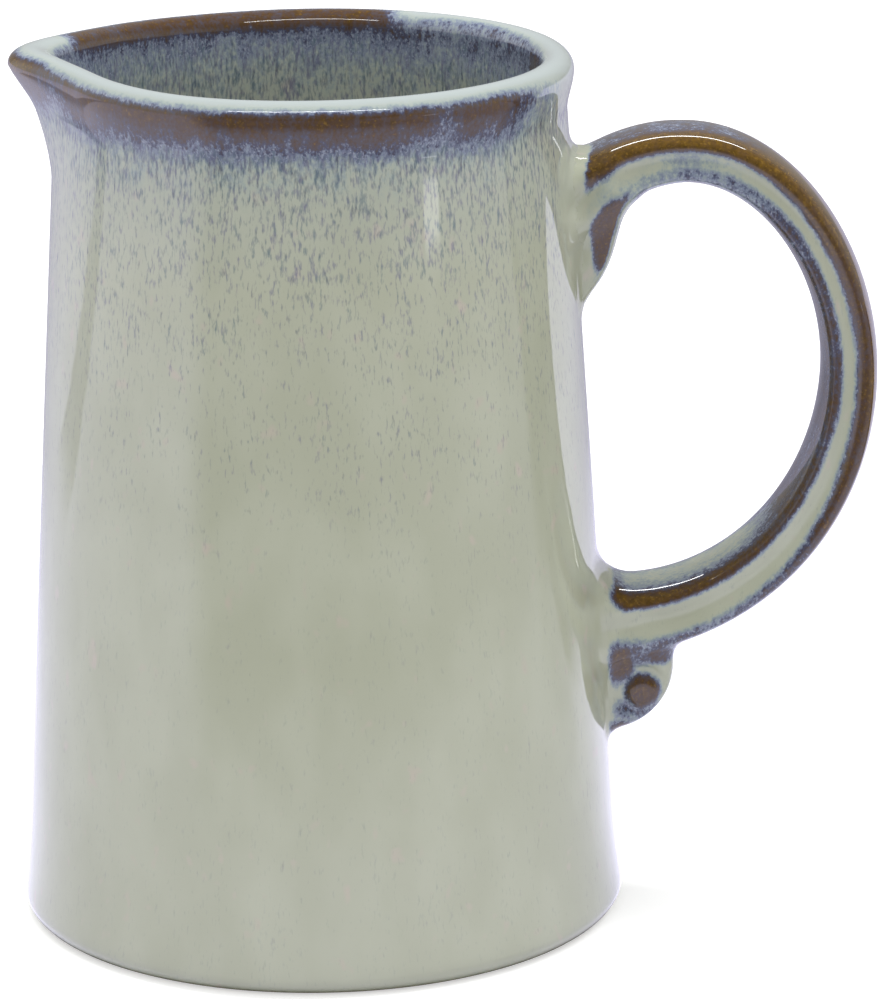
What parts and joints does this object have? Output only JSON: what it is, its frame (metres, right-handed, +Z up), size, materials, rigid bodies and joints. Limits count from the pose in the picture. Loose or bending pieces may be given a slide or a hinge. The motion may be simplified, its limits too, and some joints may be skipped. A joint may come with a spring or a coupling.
{
  "type": "cream jug",
  "caption": "Small tapered stoneware jug with a pulled pouring spout, rounded lip and grooved strap handle ending in a rolled scroll, in a pale mottled glaze with iron-brown edges.",
  "frame": {"origin": "middle of the foot ring, on the plane the jug rests on", "axes": "+Z up along the body's axis, +X towards the handle, -X towards the spout, metres"},
  "size_m": [0.1091, 0.077, 0.1113],
  "materials": {
    "pale_glaze": "glossy celadon-grey reactive glaze with slate flecks",
    "iron_glaze": "glossy glaze broken to amber brown over the ridges",
    "slip_glaze": "glossy pale glaze over wiped slip"
  },
  "bodies": {
    "root": {"body": "pale_glaze", "handle_strap": "iron_glaze", "handle_spur": "iron_glaze", "handle_scroll": "iron_glaze", "upper_slip_joint": "slip_glaze", "lower_slip_joint": "slip_glaze"}
  },
  "joints": []
}
